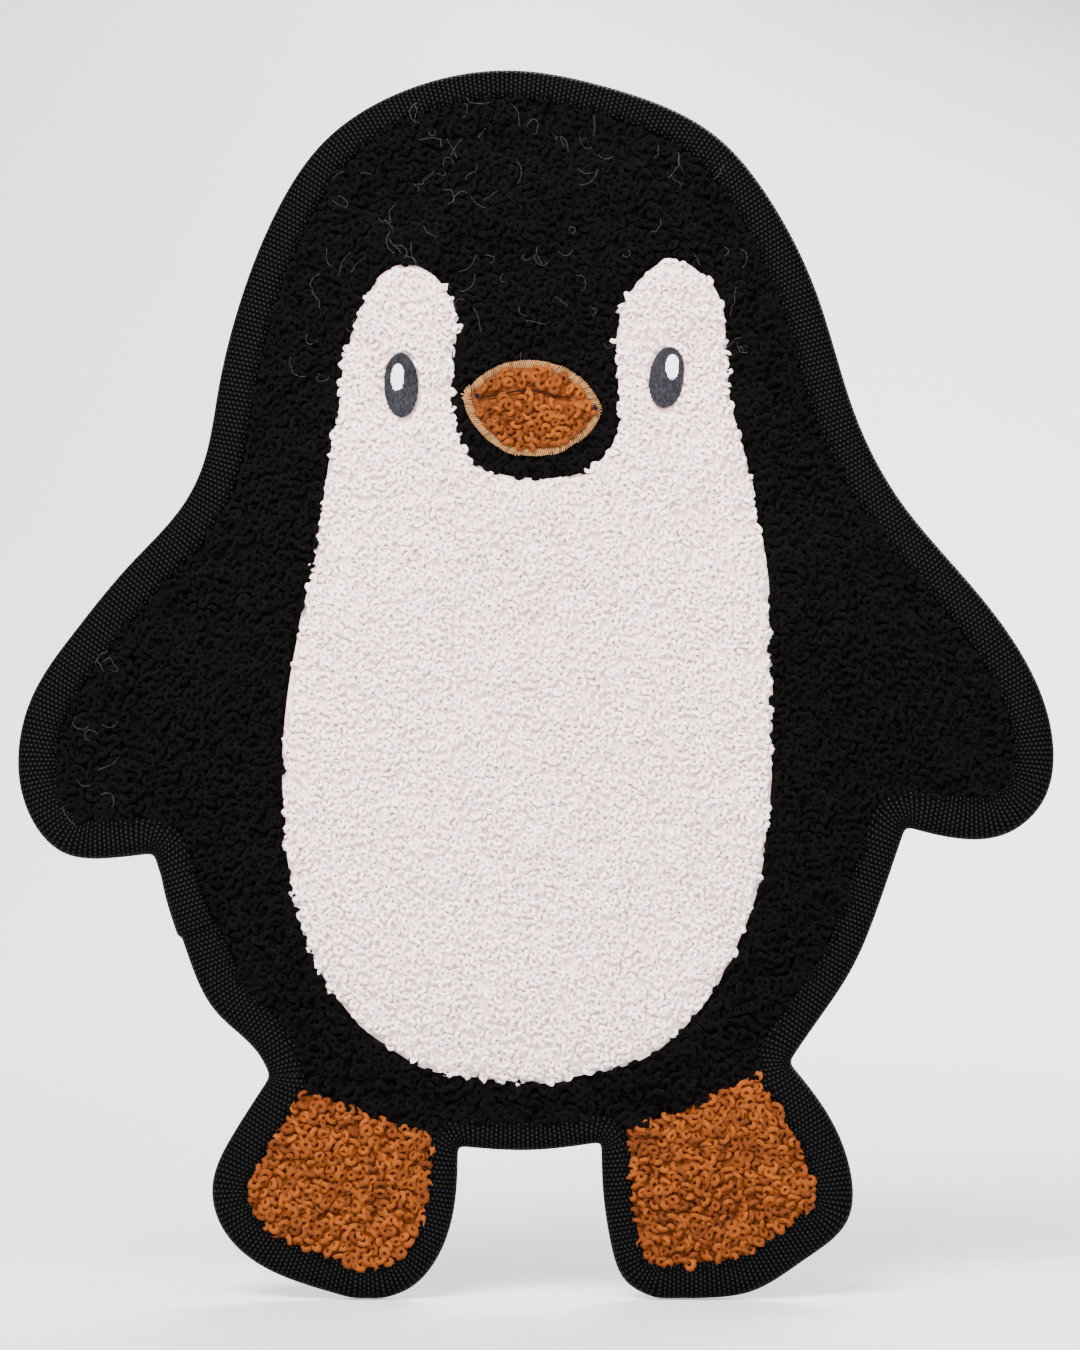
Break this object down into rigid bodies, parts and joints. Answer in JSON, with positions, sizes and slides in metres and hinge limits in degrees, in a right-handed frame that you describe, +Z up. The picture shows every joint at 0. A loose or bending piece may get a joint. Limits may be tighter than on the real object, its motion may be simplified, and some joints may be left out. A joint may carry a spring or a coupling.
{
  "type": "plush penguin",
  "caption": "Flat plush penguin toy with looped pile panels, embroidered eyes, an applied beak and a folded woven edge tape; its flippers and feet flex at their roots.",
  "frame": {"origin": "midway across and through the toy, on the surface that its feet stand on", "axes": "+Z up, the face looks along -Y, and left names are the -X side, left as seen from the front"},
  "size_m": [0.259, 0.0296, 0.3073],
  "materials": {
    "black_pile": "looped pile",
    "white_pile": "looped pile",
    "orange_pile": "looped pile",
    "edge_tape": "woven, slight sheen",
    "black_thread": "twisted thread",
    "white_thread": "twisted thread",
    "gold_thread": "satin stitch",
    "slate_thread": "satin stitch",
    "pale_thread": "satin stitch",
    "wadding": "loose fibre",
    "squeaker_shell": "moulded",
    "squeaker_reed": "moulded"
  },
  "bodies": {
    "torso": {"front_body_panel": "black_pile", "belly_panel": "white_pile", "belly_seam_thread": "white_thread", "back_body_panel": "black_pile", "squeaker_bulb": "squeaker_shell", "squeaker_reed": "squeaker_reed", "body_wadding": "wadding", "beak_border": "gold_thread", "beak_patch": "orange_pile", "beak_mouth_stitch": "black_thread", "left_eye": "slate_thread", "right_eye": "slate_thread", "left_eye_highlight": "pale_thread", "right_eye_highlight": "pale_thread", "left_foot_seam_thread": "black_thread", "right_foot_seam_thread": "black_thread", "head_binding": "edge_tape", "head_binding_stitch": "black_thread", "left_side_binding": "edge_tape", "left_side_binding_stitch": "black_thread", "right_side_binding": "edge_tape", "right_side_binding_stitch": "black_thread", "crotch_binding": "edge_tape", "crotch_binding_stitch": "black_thread"},
    "left_flipper": {"left_flipper_front_panel": "black_pile", "left_flipper_back_panel": "black_pile", "left_flipper_wadding": "wadding", "left_flipper_binding": "edge_tape", "left_flipper_binding_stitch": "black_thread"},
    "right_flipper": {"right_flipper_front_panel": "black_pile", "right_flipper_back_panel": "black_pile", "right_flipper_wadding": "wadding", "right_flipper_binding": "edge_tape", "right_flipper_binding_stitch": "black_thread"},
    "left_foot": {"left_foot_front_panel": "orange_pile", "left_foot_back_panel": "black_pile", "left_foot_wadding": "wadding", "left_foot_binding": "edge_tape", "left_foot_binding_stitch": "black_thread"},
    "right_foot": {"right_foot_front_panel": "orange_pile", "right_foot_back_panel": "black_pile", "right_foot_wadding": "wadding", "right_foot_binding": "edge_tape", "right_foot_binding_stitch": "black_thread"}
  },
  "joints": [
    {"name": "left_flipper_fold", "type": "hinge", "parent": "torso", "child": "left_flipper", "pos_m": [-0.0904, 0, 0.1576], "axis": [0.1114, 0, 0.9938], "range_deg": [-45, 45], "stiffness_Nm_per_rad": 0.05},
    {"name": "right_flipper_fold", "type": "hinge", "parent": "torso", "child": "right_flipper", "pos_m": [0.0902, 0, 0.16115], "axis": [0.0507, 0, -0.9987], "range_deg": [-45, 45], "stiffness_Nm_per_rad": 0.05},
    {"name": "left_foot_fold", "type": "hinge", "parent": "torso", "child": "left_foot", "pos_m": [-0.043, 0, 0.04675], "axis": [-0.9371, 0, 0.3489], "range_deg": [-45, 45], "stiffness_Nm_per_rad": 0.05},
    {"name": "right_foot_fold", "type": "hinge", "parent": "torso", "child": "right_foot", "pos_m": [0.0398, 0, 0.049], "axis": [-0.9202, 0, -0.3916], "range_deg": [-45, 45], "stiffness_Nm_per_rad": 0.05}
  ]
}
